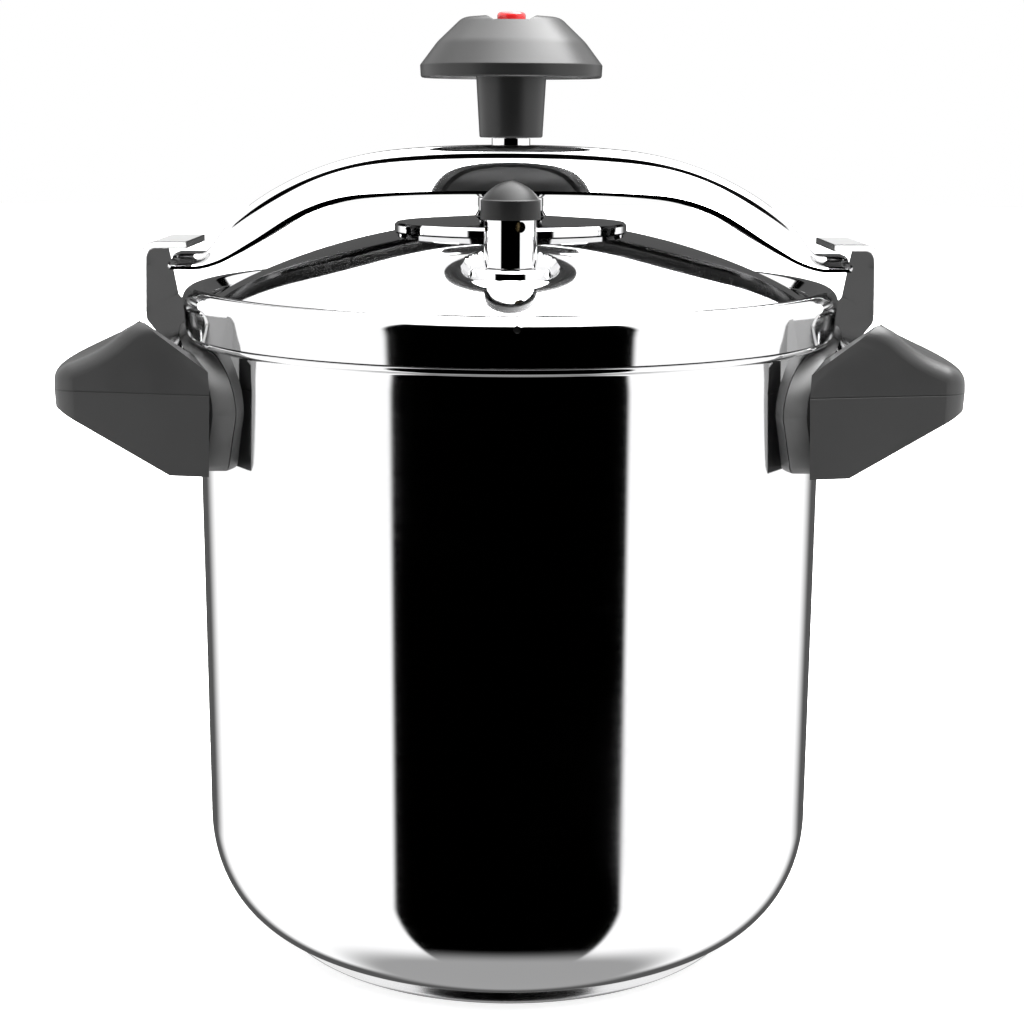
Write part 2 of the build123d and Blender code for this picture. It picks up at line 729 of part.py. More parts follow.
# ---------------------------------------------------------------- side clasps
HOOK_HALF = 22.0
SKIRT_HALF = 46.5
SKIRT_Z = 204.0
CLASP_OUTER = CLASP_INNER + CLASP_SHEET
OUTLINE = ((HOOK_HALF, 280), (HOOK_HALF, 272), (26, 266), (34.5, 250), (46, 244))
SCREW_RADIUS = 2.5
SCREW_PAIR = (-SCREW_Y, SCREW_Y)


def ramp_z(x, below=0.0):
    """Height of the clasp's ramp at x, or a distance below its upper face."""
    return RAMP_Z + RAMP_SLOPE * (x - RAMP_X) - below * sqrt(1 + RAMP_SLOPE**2)


def clasp_outline(extra):
    """Outline of the clasp seen along X, grown by a margin."""
    half = [(y + extra, z + extra * (z < 270)) for y, z in OUTLINE]
    half.append((SKIRT_HALF + extra, SKIRT_Z - extra))
    with BuildLine() as outline:
        Polyline(*half, *[(-y, z) for y, z in reversed(half)], close=True)
    return outline.edges()


with BuildPart() as clasp_skirt:
    with BuildSketch(Plane.XY.offset(SKIRT_Z)):
        Circle(CLASP_OUTER)
        Circle(CLASP_INNER, mode=Mode.SUBTRACT)
        with Locations((CLASP_INNER, 0)):
            Rectangle(60, 2 * SKIRT_HALF, mode=Mode.INTERSECT)
    extrude(amount=50)
    with BuildSketch(Plane.XZ):
        with BuildLine():
            Polyline((95, ramp_z(95)), (140, ramp_z(140)), (140, SKIRT_Z), (95, SKIRT_Z), close=True)
        make_face()
    extrude(amount=80, both=True, mode=Mode.INTERSECT)

with BuildPart() as clasp:
    with BuildSketch(Plane.XZ):
        with BuildLine():
            FilletPolyline(
                (HOOK_TIP_X, HOOK_UNDER_Z),
                (POST_X, HOOK_UNDER_Z),
                (POST_X - POST_LEAN, ramp_z(POST_X - POST_LEAN)),
                (98, ramp_z(98)),
                radius=[3.0, 5.0],
            )
            offset(amount=CLASP_SHEET, side=Side.LEFT)
        make_face()
    extrude(amount=80, both=True)
    with Locations((0, 0, 180)):
        Cylinder(CLASP_INNER, 72, align=(Align.CENTER, Align.CENTER, Align.MIN), mode=Mode.SUBTRACT)
    add(clasp_skirt.part)
    with BuildSketch(Plane.YZ):
        make_face(clasp_outline(0))
    extrude(amount=160, mode=Mode.INTERSECT)
    for y in SCREW_PAIR:
        with Locations(Location((CLASP_INNER, y, SCREW_Z), (0, 90, 0))):
            Cylinder(SCREW_RADIUS + 0.25, 20, mode=Mode.SUBTRACT)
save_pair(clasp, "clasp")

# ---------------------------------------------------------------- handle brackets and pads
BRACKET_RADIUS = (POT_RADIUS + 0.05, POT_RADIUS + 1.3)
BRACKET_HALF = 32.0
BRACKET_Z = (204.0, 230.0)
BOSS_RADIUS = 4.0
BOSS_X = 124.2

with BuildPart() as bracket:
    with BuildSketch(Plane.XY.offset(BRACKET_Z[0])):
        Circle(BRACKET_RADIUS[1])
        with Locations((BRACKET_RADIUS[0], 0)):
            Rectangle(40, 2 * BRACKET_HALF, mode=Mode.INTERSECT)
    extrude(amount=BRACKET_Z[1] - BRACKET_Z[0])
    for y in SCREW_PAIR:
        with Locations(Location((BOSS_X, y, SCREW_Z), (0, -90, 0))):
            Cylinder(BOSS_RADIUS, 8, align=(Align.CENTER, Align.CENTER, Align.MIN))
    with Locations((0, 0, SCREW_Z)):
        Cylinder(BRACKET_RADIUS[0], 80, mode=Mode.SUBTRACT)
    for y in SCREW_PAIR:
        with Locations(Location((BOSS_X, y, SCREW_Z), (0, 90, 0))):
            Cylinder(SCREW_RADIUS + 0.02, 20, mode=Mode.SUBTRACT)
save_pair(bracket, "bracket")

PAD_HALF = 71.0
PAD_SPARE = 4.0
with BuildPart() as pad:
    with BuildSketch(Plane.XY.offset(HANDLE_BOTTOM_Z - PAD_SPARE)):
        Circle(CLASP_INNER - 0.1)
        Circle(POT_RADIUS + 0.15, mode=Mode.SUBTRACT)
        with Locations((POT_RADIUS, 0)):
            Rectangle(80, 2 * (PAD_HALF + PAD_SPARE), mode=Mode.INTERSECT)
    extrude(amount=PAD_TOP_Z - HANDLE_BOTTOM_Z + 2 * PAD_SPARE)
    with BuildSketch(Plane.YZ):
        with BuildLine():
            FilletPolyline(
                (-PAD_HALF, PAD_TOP_Z),
                (-PAD_HALF, 216),
                (6.5 - PAD_HALF, HANDLE_BOTTOM_Z),
                (PAD_HALF - 6.5, HANDLE_BOTTOM_Z),
                (PAD_HALF, 216),
                (PAD_HALF, PAD_TOP_Z),
                radius=[20, 4, 4, 20, 1, 1],
                close=True,
            )
        make_face()
    extrude(amount=160, mode=Mode.INTERSECT)
    with BuildSketch(Plane.XY.offset(BRACKET_Z[0] - GAP)):
        Circle(BRACKET_RADIUS[1] + GAP)
        Circle(POT_RADIUS - 1, mode=Mode.SUBTRACT)
        with Locations((POT_RADIUS, 0)):
            Rectangle(40, 2 * (BRACKET_HALF + GAP), mode=Mode.INTERSECT)
    extrude(amount=BRACKET_Z[1] - BRACKET_Z[0] + 2 * GAP, mode=Mode.SUBTRACT)
    for y in SCREW_PAIR:
        with Locations(Location((BOSS_X, y, SCREW_Z), (0, 90, 0))):
            Cylinder(BOSS_RADIUS + GAP, 20, mode=Mode.SUBTRACT)
save_pair(pad, "pad")

# ---------------------------------------------------------------- grips and their screws
PARTING_Z = 224.3
GRIP_DRAFT = 3.0
CHEEK_INNER = 66.0
TIP_X = 173.0
TIP_CORNER = (164.0, 65.0)
ROOT = (96.0, 77.5)
TIP_ROUND = 6.5
HEAD_SEAT_X = 137.0
HEAD_HEIGHT = 2.8

with BuildPart() as grip:
    with BuildSketch(Plane.XY.offset(PARTING_Z)):
        with BuildLine():
            front = Line((ROOT[0], -ROOT[1]), (TIP_CORNER[0], -TIP_CORNER[1]))
            tip = ThreePointArc(front @ 1, (TIP_X, 0), TIP_CORNER)
            Polyline(tip @ 1, ROOT, front @ 0)
        make_face()
        fillet(vertices().filter_by(lambda v: v.X > 160), 11)
    extrude(amount=40, both=True, taper=GRIP_DRAFT)
    with BuildSketch(Plane.XZ):
        with BuildLine():
            under = Polyline((94, HANDLE_BOTTOM_Z), (122.5, HANDLE_BOTTOM_Z), (163.5, 217.0), (177, 223.0))
            upper = Spline(
                (177, 228.6),
                (166, 231.6),
                (158, 234.7),
                (150, 238.2),
                (143, 242.7),
                (137.4, 247.2),
                (132.5, HANDLE_TOP_Z - 0.6),
            )
            Line(under @ 1, upper @ 0)
            Polyline(upper @ 1, (130.5, HANDLE_TOP_Z - 1.2), (107, 232.6), (94, 223.5), under @ 0)
        make_face()
    extrude(amount=90, both=True, mode=Mode.INTERSECT)
    tip_edges = grip.edges().filter_by(lambda e: e.center().X > 160 and e.bounding_box().size.Z < 8)
    fillet(tip_edges.filter_by(lambda e: e.center().Z > PARTING_Z + 1), TIP_ROUND)
    with Locations((0, 0, PARTING_Z)):
        Cylinder(CLASP_OUTER + 0.1, 90, mode=Mode.SUBTRACT)
    with BuildPart(mode=Mode.PRIVATE) as pocket:
        with BuildSketch(Plane.XZ):
            with BuildLine():
                deep = CLASP_SHEET + GAP
                Polyline(
                    (94, ramp_z(94, deep)),
                    (POST_X + deep - 2.0, ramp_z(POST_X + deep - 2.0, deep)),
                    (POST_X + deep + 0.4, 300),
                    (94, 300),
                    close=True,
                )
            make_face()
        extrude(amount=CHEEK_INNER, both=True)
    add(pocket.part, mode=Mode.SUBTRACT)
    for y in SCREW_PAIR:
        with Locations(Location((HEAD_SEAT_X, y, SCREW_Z), (0, 90, 0))):
            Cylinder(SCREW_RADIUS + 0.25, 30, mode=Mode.SUBTRACT)
            Cylinder(5.5, 40, align=(Align.CENTER, Align.CENTER, Align.MIN), mode=Mode.SUBTRACT)
save_pair(grip, "grip")

with BuildPart() as screws:
    for y in SCREW_PAIR:
        with Locations(Location((HEAD_SEAT_X, y, SCREW_Z), (0, -90, 0))):
            Cylinder(SCREW_RADIUS, 16.8, align=(Align.CENTER, Align.CENTER, Align.MIN))
        with Locations(Location((HEAD_SEAT_X, y, SCREW_Z), (0, 90, 0))):
            Cylinder(4.6, HEAD_HEIGHT, align=(Align.CENTER, Align.CENTER, Align.MIN))
    fillet(screws.edges().filter_by(lambda e: e.center().X > HEAD_SEAT_X + 2), 0.8)
    for y in SCREW_PAIR:
        with Locations((HEAD_SEAT_X + HEAD_HEIGHT, y, SCREW_Z)):
            Box(3.4, 0.9, 5.4, mode=Mode.SUBTRACT)
            Box(3.4, 5.4, 0.9, mode=Mode.SUBTRACT)
save_pair(screws, "grip_screws")
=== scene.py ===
"""Stovetop pressure cooker: looks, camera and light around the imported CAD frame.

The scene is in metres, in the frame's own coordinates: +Z up, +X to one side handle, -Y front.
The outlines and sizes of the rebuilt pieces are written in mm and scaled by MM.
"""

import bmesh
import bpy
import json
from math import cos, exp, pi, radians, sin, sqrt
from mathutils import Euler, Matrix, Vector


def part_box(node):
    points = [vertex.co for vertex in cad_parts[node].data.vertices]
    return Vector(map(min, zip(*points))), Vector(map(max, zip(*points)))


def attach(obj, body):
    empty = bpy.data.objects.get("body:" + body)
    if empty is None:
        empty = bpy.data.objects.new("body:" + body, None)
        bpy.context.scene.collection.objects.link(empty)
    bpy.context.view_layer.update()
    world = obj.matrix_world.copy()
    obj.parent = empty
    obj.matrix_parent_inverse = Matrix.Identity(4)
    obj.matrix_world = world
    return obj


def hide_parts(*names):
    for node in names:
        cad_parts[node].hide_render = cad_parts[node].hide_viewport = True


MM = 0.001
SMOOTH_ANGLE = radians(32)
ON_AXIS = 1e-6

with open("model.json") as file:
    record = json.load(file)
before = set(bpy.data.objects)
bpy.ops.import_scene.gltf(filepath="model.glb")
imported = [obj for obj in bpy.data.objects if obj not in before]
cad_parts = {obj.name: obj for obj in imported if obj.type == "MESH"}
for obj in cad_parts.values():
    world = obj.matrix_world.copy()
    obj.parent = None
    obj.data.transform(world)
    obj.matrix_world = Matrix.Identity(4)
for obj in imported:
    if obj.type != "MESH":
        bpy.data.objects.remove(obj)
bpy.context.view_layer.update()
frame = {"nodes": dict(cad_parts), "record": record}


# ------------------------------------------------------------------ node helpers
class Nodes:
    """Short way to build a node tree: add nodes, set sockets, link them."""

    def __init__(self, tree):
        self.tree = tree
        tree.nodes.clear()

    def add(self, kind, inputs=None, **settings):
        node = self.tree.nodes.new(kind)
        for name, value in settings.items():
            setattr(node, name, value)
        for name, value in (inputs or {}).items():
            self.feed(node.inputs[name], value)
        return node

    def feed(self, socket, value):
        if isinstance(value, bpy.types.NodeSocket):
            self.tree.links.new(value, socket)
        else:
            socket.default_value = value

    def math(self, operation, first, second=0.0, third=None):
        node = self.add("ShaderNodeMath", operation=operation)
        self.feed(node.inputs[0], first)
        self.feed(node.inputs[1], second)
        if third is not None:
            self.feed(node.inputs[2], third)
        return node.outputs[0]

    def span(self, value, low, high, to_low=0.0, to_high=1.0, smooth=False):
        """Maps value from low..high to to_low..to_high, clamped."""
        node = self.add("ShaderNodeMapRange", {"Value": value, "From Min": low, "From Max": high})
        node.inputs["To Min"].default_value = to_low
        node.inputs["To Max"].default_value = to_high
        node.interpolation_type = "SMOOTHSTEP" if smooth else "LINEAR"
        return node.outputs["Result"]

    def mix(self, factor, first, second):
        """Colour between first and second, either of which may be a socket."""
        node = self.add("ShaderNodeMix", data_type="RGBA")
        self.feed(node.inputs["Factor"], factor)
        self.feed(node.inputs["A"], first)
        self.feed(node.inputs["B"], second)
        return node.outputs["Result"]

    def blend(self, factor, first, second):
        """Number between first and second, either of which may be a socket."""
        change = self.math("SUBTRACT", second, first)
        return self.math("MULTIPLY_ADD", factor, change, first)

    def noise(self, where, scale, detail=3.0, roughness=0.5, distortion=0.0):
        node = self.add("ShaderNodeTexNoise", {"Vector": where, "Scale": scale, "Detail": detail})
        node.inputs["Roughness"].default_value = roughness
        node.inputs["Distortion"].default_value = distortion
        return node.outputs["Fac"]

    def stretched(self, where, scale):
        node = self.add("ShaderNodeMapping", {"Vector": where})
        node.inputs["Scale"].default_value = scale
        return node.outputs["Vector"]


def grey(level):
    return (level, level, level, 1.0)


def new_material(name):
    material = bpy.data.materials.new(name)
    material.use_nodes = True
    nodes = Nodes(material.node_tree)
    where = nodes.add("ShaderNodeTexCoord").outputs["Object"]
    return material, nodes, where


def finish_material(nodes, inputs, heights=()):
    """Principled shader with its inputs, and bumps given as (height, strength, distance) stacked."""
    normal = None
    for height, strength, distance in heights:
        bump = nodes.add("ShaderNodeBump", {"Height": height})
        bump.inputs["Strength"].default_value = strength
        bump.inputs["Distance"].default_value = distance
        if normal is not None:
            nodes.feed(bump.inputs["Normal"], normal)
        normal = bump.outputs["Normal"]
    shader = nodes.add("ShaderNodeBsdfPrincipled", inputs)
    if normal is not None:
        nodes.feed(shader.inputs["Normal"], normal)
    nodes.add("ShaderNodeOutputMaterial", {"Surface": shader.outputs["BSDF"]})


# ------------------------------------------------------------------ materials
def polished_steel(name):
    """Mirror-polished stainless steel: faint smudges, hairline swirls and a slightly uneven polish."""
    material, nodes, where = new_material(name)
    smudge = nodes.noise(where, 9.0, 5.0, 0.6, 0.6)
    streak = nodes.noise(nodes.stretched(where, (1.0, 1.0, 14.0)), 26.0, 4.0, 0.65)
    hairline = nodes.noise(nodes.stretched(where, (1.0, 1.0, 42.0)), 60.0, 2.0, 0.7)
    soiled = nodes.span(smudge, 0.52, 0.78, 0.0, 0.05, smooth=True)
    rubbed = nodes.span(streak, 0.35, 0.75, 0.0, 0.022)
    rough = nodes.math("ADD", nodes.math("ADD", soiled, rubbed), 0.045)
    dull = nodes.span(smudge, 0.5, 0.8, 0.0, 0.10, smooth=True)
    colour = nodes.mix(dull, (0.80, 0.80, 0.805, 1.0), (0.688, 0.688, 0.68425, 1.0))
    ripple = nodes.noise(where, 3.2, 1.0, 0.4)
    inputs = {"Base Color": colour, "Metallic": 1.0, "Roughness": rough, "IOR": 2.6}
    finish_material(nodes, inputs, [(ripple, 0.05, 0.0006), (hairline, 0.025, 0.0001)])
    return material


def pressed_steel(name, arris=1.3):
    """Polished steel sheet, matt where it faces along Y or up, with painted light: pale painted
    highlights on faces along Y, painted shade on faces that look up, and a thin painted dark
    reflection along the arrises.

    The arris is the radius, in mm, within which an edge counts as near.
    """
    material, nodes, where = new_material(name)
    smudge = nodes.noise(where, 30.0, 4.0, 0.6, 0.4)
    scratch = nodes.noise(nodes.stretched(where, (1.0, 24.0, 24.0)), 90.0, 3.0, 0.7)
    facing = nodes.add("ShaderNodeTexCoord").outputs["Normal"]
    parts = nodes.add("ShaderNodeSeparateXYZ", {"Vector": facing})
    faces_along_y = nodes.span(nodes.math("ABSOLUTE", parts.outputs["Y"]), 0.5, 0.8, smooth=True)
    top = nodes.span(parts.outputs["Z"], 0.93, 0.99, 0.0, 0.8, smooth=True)
    cut = nodes.math("MAXIMUM", faces_along_y, top)
    # Painted light: faces along Y are painted pale as a highlight, and faces that look up are painted
    # dark as shade.
    colour = nodes.mix(faces_along_y, nodes.mix(top, grey(0.80), grey(0.11)), grey(0.92))
    # Painted reflection: a thin dark line is painted along the arrises.
    rolled = nodes.add("ShaderNodeBevel", {"Radius": arris * MM}, samples=6).outputs["Normal"]
    flat = nodes.add("ShaderNodeNewGeometry").outputs["Normal"]
    alike = nodes.add("ShaderNodeVectorMath", {0: rolled, 1: flat}, operation="DOT_PRODUCT")
    painted_edge_line = nodes.span(alike.outputs["Value"], 0.98, 0.86, smooth=True)
    colour = nodes.mix(painted_edge_line, colour, grey(0.04))
    polish = nodes.span(smudge, 0.45, 0.8, 0.08, 0.16)
    matt = nodes.span(scratch, 0.3, 0.7, 0.42, 0.56)
    inputs = {"Base Color": colour, "Roughness": nodes.blend(cut, polish, matt)}
    inputs["Metallic"] = nodes.blend(cut, 1.0, 0.25)
    finish_material(nodes, inputs, [(scratch, 0.08, 0.0001)])
    return material


def satin_steel(name, ring_scale=900.0, shade=1.0):
    """Turned or brushed stainless steel with concentric tool marks about the vertical axis."""
    material, nodes, where = new_material(name)
    parts = nodes.add("ShaderNodeSeparateXYZ", {"Vector": where})
    square_x = nodes.math("MULTIPLY", parts.outputs["X"], parts.outputs["X"])
    square_y = nodes.math("MULTIPLY", parts.outputs["Y"], parts.outputs["Y"])
    radius = nodes.math("SQRT", nodes.math("ADD", square_x, square_y))
    rings = nodes.add("ShaderNodeCombineXYZ", {"X": radius, "Z": parts.outputs["Z"]})
    turned = nodes.noise(rings.outputs["Vector"], ring_scale, 3.0, 0.7)
    patches = nodes.noise(where, 22.0, 4.0, 0.6, 0.4)
    marks = nodes.span(turned, 0.3, 0.7, 0.14, 0.26)
    rough = nodes.math("ADD", marks, nodes.span(patches, 0.45, 0.8, 0.0, 0.12))
    warm = nodes.span(patches, 0.4, 0.75, 0.0, 0.35, smooth=True)
    clean = (0.66 * shade, 0.66 * shade, 0.665 * shade, 1.0)
    colour = nodes.mix(warm, clean, (0.60 * shade, 0.585 * shade, 0.56 * shade, 1.0))
    inputs = {"Base Color": colour, "Metallic": 1.0, "Roughness": rough}
    finish_material(nodes, inputs, [(turned, 0.12, 0.0002)])
    return material


def black_plastic(name, gloss=0.34, level=0.018, seam_z=None, ior=1.5):
    """Moulded black thermoset: fine spark-eroded grain, rubbed lighter on its edges.

    With a seam height, in metres, it shows the mould's parting line and paints the lower half paler,
    as the light that falls on its opposite draft.
    """
    material, nodes, where = new_material(name)
    fine = nodes.noise(where, 2400.0, 2.0, 0.6)
    cloud = nodes.noise(where, 28.0, 4.0, 0.55, 0.3)
    point = nodes.add("ShaderNodeNewGeometry").outputs["Pointiness"]
    edge = nodes.span(point, 0.53, 0.62, 0.0, 0.6, smooth=True)
    worn = nodes.math("MULTIPLY", edge, nodes.span(cloud, 0.35, 0.7))
    base = nodes.mix(cloud, grey(level * 0.8), grey(level * 1.35))
    colour = nodes.mix(worn, base, grey(level * 3.0))
    waxy = nodes.span(cloud, 0.3, 0.75, gloss - 0.05, gloss + 0.07)
    rough = nodes.math("ADD", waxy, nodes.span(fine, 0.3, 0.7, 0.0, 0.06))
    heights = [(cloud, 0.05, 0.0006), (fine, 0.16, 0.00008)]
    if seam_z is not None:
        z = nodes.add("ShaderNodeSeparateXYZ", {"Vector": where}).outputs["Z"]
        # Painted light: below the seam the colour is paler, standing for the light on the lower half's
        # draft.
        lower = nodes.span(z, seam_z, seam_z - 0.0003)
        colour = nodes.mix(lower, colour, grey(level * 1.25))
        away = nodes.math("ABSOLUTE", nodes.math("SUBTRACT", z, seam_z))
        seam = nodes.span(away, 0.0001, 0.0004, smooth=True)
        colour = nodes.mix(seam, grey(level * 0.2), colour)
        heights.append((seam, 0.5, 0.0003))
    inputs = {"Base Color": colour, "Roughness": rough, "IOR": ior}
    finish_material(nodes, inputs, heights)
    return material


def red_plastic(name):
    """Glossy red moulded plug, slightly cloudy with a few rubbed spots."""
    material, nodes, where = new_material(name)
    cloud = nodes.noise(where, 160.0, 3.0, 0.6)
    colour = nodes.mix(cloud, (0.60, 0.012, 0.016, 1.0), (0.78, 0.03, 0.03, 1.0))
    rough = nodes.span(cloud, 0.3, 0.75, 0.14, 0.28)
    inputs = {"Base Color": colour, "Roughness": rough, "Coat Weight": 0.5, "Coat Roughness": 0.08}
    finish_material(nodes, inputs, [(cloud, 0.06, 0.0002)])
    return material


def rubber(name):
    """Matt black rubber with a bloom and fine pores."""
    material, nodes, where = new_material(name)
    pores = nodes.noise(where, 1500.0, 2.0, 0.7)
    bloom = nodes.noise(where, 30.0, 4.0, 0.6)
    colour = nodes.mix(bloom, grey(0.016), grey(0.045))
    rough = nodes.span(bloom, 0.3, 0.7, 0.62, 0.85)
    finish_material(nodes, {"Base Color": colour, "Roughness": rough}, [(pores, 0.25, 0.0001)])
    return material


def brass(name, shade=1.0):
    """Turned brass, a little tarnished."""
    material, nodes, where = new_material(name)
    rings = nodes.noise(nodes.stretched(where, (1.0, 1.0, 30.0)), 90.0, 3.0, 0.6)
    tarnish = nodes.noise(where, 70.0, 4.0, 0.6, 0.5)
    stained = nodes.span(tarnish, 0.4, 0.8, 0.0, 0.7)
    clean = (0.80 * shade, 0.60 * shade, 0.29 * shade, 1.0)
    colour = nodes.mix(stained, clean, (0.46 * shade, 0.33 * shade, 0.17 * shade, 1.0))
    marks = nodes.span(rings, 0.3, 0.7, 0.16, 0.28)
    rough = nodes.math("ADD", marks, nodes.span(tarnish, 0.4, 0.8, 0.0, 0.15))
    inputs = {"Base Color": colour, "Metallic": 1.0, "Roughness": rough}
    finish_material(nodes, inputs, [(rings, 0.1, 0.0001)])
    return material


def aluminium(name):
    """Pressed aluminium with a fine matt grain."""
    material, nodes, where = new_material(name)
    grain = nodes.noise(where, 800.0, 3.0, 0.6)
    colour = nodes.mix(grain, grey(0.62), grey(0.74))
    rough = nodes.span(grain, 0.3, 0.7, 0.3, 0.45)
    inputs = {"Base Color": colour, "Metallic": 1.0, "Roughness": rough}
    finish_material(nodes, inputs, [(grain, 0.1, 0.0001)])
    return material


MATERIALS = {
    "polished_steel": polished_steel("polished_steel_look"),
    "satin_steel": satin_steel("satin_steel_look"),
    "aluminium_core": aluminium("aluminium_look"),
    "black_plastic": black_plastic("black_plastic_look"),
    "red_plastic": red_plastic("red_plastic_look"),
    "black_rubber": rubber("rubber_look"),
    "brass": brass("brass_look"),
}
PRESSED_STEEL = pressed_steel("pressed_steel_look")
# Painted shade: satin steel darkened almost to black for the bridge's hollow.
HOLLOW_SHADE_STEEL = satin_steel("hollow_shade_steel_look", 500.0, shade=0.05)
# Painted shade: brass darkened to 0.12 of its colour for the valve weight inside its sleeve.
SHADED_BRASS = brass("shaded_brass_look", shade=0.12)
KNOB_PLASTIC = black_plastic("knob_plastic_look", gloss=0.36, level=0.005)
CAP_PLASTIC = black_plastic("cap_plastic_look", gloss=0.38, level=0.003, ior=1.36)
PAD_PLASTIC = black_plastic("pad_plastic_look", gloss=0.40, level=0.036)
GRIP_PLASTIC = black_plastic("grip_plastic_look", level=0.014, seam_z=0.2243)
SPECIAL_LOOKS = {
    "clasp_left": PRESSED_STEEL,
    "clasp_right": PRESSED_STEEL,
    "grip_left": GRIP_PLASTIC,
    "grip_right": GRIP_PLASTIC,
    "pad_left": PAD_PLASTIC,
    "pad_right": PAD_PLASTIC,
    "valve_cap": CAP_PLASTIC,
    "valve_weight": SHADED_BRASS,
}
SLOT_OF = {part["node"]: part["material_slot"] for part in frame["record"]["subparts"]}


def dress_cad_nodes():
    """Every CAD node gets a procedural material."""
    for name, node in frame["nodes"].items():
        look = SPECIAL_LOOKS.get(name, MATERIALS[SLOT_OF[name]])
        for slot in node.material_slots:
            slot.material = look


# ------------------------------------------------------------------ mesh helpers
def make_object(name, mesh, material, body, slot, *nodes):
    """A finished piece: named, shaded, riding on its body and standing for its CAD nodes."""
    mesh.materials.append(material)
    piece = bpy.data.objects.new(name, mesh)
    bpy.context.scene.collection.objects.link(piece)
    for polygon in mesh.polygons:
        polygon.use_smooth = True
    mesh.set_sharp_from_angle(angle=SMOOTH_ANGLE)
    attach(piece, body)
    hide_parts(*nodes)


def arc_points(centre, radii, start, end, steps):
    """Points on an ellipse arc in the profile plane, angles in degrees, both ends included."""
    points = []
    for i in range(steps + 1):
        angle = radians(start + (end - start) * i / steps)
        points.append((centre[0] + radii[0] * cos(angle), centre[1] + radii[1] * sin(angle)))
    return points


def rounded(points, radii, steps=6):
    """An open profile with the corners between its two ends rounded by tangent arcs."""
    result = [points[0]]
    for before, apex, after, radius in zip(points, points[1:], points[2:], radii):
        apex = Vector(apex)
        into = (Vector(before) - apex).normalized()
        out = (Vector(after) - apex).normalized()
        half = into.angle(out) / 2
        back = radius / sin(half) * cos(half)
        centre = apex + (into + out).normalized() * (radius / sin(half))
        first_spoke = apex + into * back - centre
        last_spoke = apex + out * back - centre
        turn = first_spoke.angle(last_spoke)
        for i in range(steps + 1):
            share = i / steps
            first_weight = sin((1 - share) * turn) / sin(turn)
            last_weight = sin(share * turn) / sin(turn)
            spoke = first_spoke * first_weight + last_spoke * last_weight
            result.append(tuple(centre + spoke))
    result.append(points[-1])
    return result


def refined(points, step):
    """The same open profile with long runs cut into pieces no longer than step."""
    result = [points[0]]
    for start, end in zip(points, points[1:]):
        length = (Vector(end) - Vector(start)).length
        count = max(1, int(length / step + 0.5))
        for i in range(1, count + 1):
            share = i / count
            across = start[0] + (end[0] - start[0]) * share
            up = start[1] + (end[1] - start[1]) * share
            result.append((across, up))
    return result


def lathe_mesh(name, profile, segments):
    """Revolves a closed profile of (radius, z) points in mm about the pot's axis into quads."""
    mesh = bpy.data.meshes.new(name)
    build = bmesh.new()
    rings = []
    for radius, z in profile:
        if radius < ON_AXIS:
            rings.append([build.verts.new((0.0, 0.0, z * MM))])
            continue
        ring = []
        for i in range(segments):
            angle = 2 * pi * i / segments
            x = radius * cos(angle) * MM
            y = radius * sin(angle) * MM
            ring.append(build.verts.new((x, y, z * MM)))
        rings.append(ring)
    for lower, upper in zip(rings, rings[1:] + rings[:1]):
        for i in range(segments):
            j = (i + 1) % segments
            edge_below = [lower[i % len(lower)], lower[j % len(lower)]]
            edge_above = [upper[j % len(upper)], upper[i % len(upper)]]
            unique = list(dict.fromkeys(edge_below + edge_above))
            if len(unique) > 2:
                build.faces.new(unique)
    bmesh.ops.recalc_face_normals(build, faces=build.faces)
    build.to_mesh(mesh)
    build.free()
    return mesh


def thickened(points, wall):
    """A closed profile: the open outer line, then back along a line that lies wall to its left.

    The second line is kept from crossing the axis, where the first coordinate is 0.
    """
    inner = []
    last = len(points) - 1
    for i, point in enumerate(points):
        before = Vector(points[max(i - 1, 0)])
        after = Vector(points[min(i + 1, last)])
        along = (after - before).normalized()
        leftward = Vector((-along.y, along.x))
        shifted = Vector(point) + leftward * wall
        inner.append((max(shifted.x, 0.0), shifted.y))
    return list(points) + inner[::-1]


def bored(mesh, radius, depth, place, tilt):
    """The same mesh with a round hole cut through it; radius, depth and place are in mm."""
    cutter_mesh = bpy.data.meshes.new("cutter")
    build = bmesh.new()
    bmesh.ops.create_cone(
        build, cap_ends=True, segments=48, radius1=radius * MM, radius2=radius * MM, depth=depth * MM
    )
    build.to_mesh(cutter_mesh)
    build.free()
    host = bpy.data.objects.new("host", mesh)
    cutter = bpy.data.objects.new("cutter", cutter_mesh)
    bpy.context.scene.collection.objects.link(host)
    bpy.context.scene.collection.objects.link(cutter)
    cutter.location = Vector(place) * MM
    cutter.rotation_euler = tilt
    cut = host.modifiers.new("hole", "BOOLEAN")
    cut.operation = "DIFFERENCE"
    cut.object = cutter
    cut.solver = "EXACT"
    bpy.context.view_layer.update()
    graph = bpy.context.evaluated_depsgraph_get()
    result = bpy.data.meshes.new_from_object(host.evaluated_get(graph))
    bpy.data.objects.remove(host)
    bpy.data.objects.remove(cutter)
    return result


# ------------------------------------------------------------------ sizes of pot and lid, in mm
def corner(node, side):
    """Lowest (0) or highest (1) corner of a CAD node, in mm."""
    return [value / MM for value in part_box(node)[side]]


PAD_REACH = 6.9  # how far the pads stand out from the pot's wall
POT_RADIUS = corner("pad_right", 1)[0] - PAD_REACH
FLANGE_RADIUS = corner("pot_body", 1)[0]
POT_RIM_Z = corner("pot_body", 1)[2]
POT_FLOOR_Z = corner("pot_body", 0)[2]
POT_WALL = 1.2
FLANGE_HEIGHT = 2.6
CORNER_ACROSS = 28.0
CORNER_UP = 40.0
CORNER_STEPS = 40
LONG_RUN = 6.0
BASE_RADIUS = corner("base_cap", 1)[0]
BASE_WALL = 0.8
BASE_CORNER = 2.6

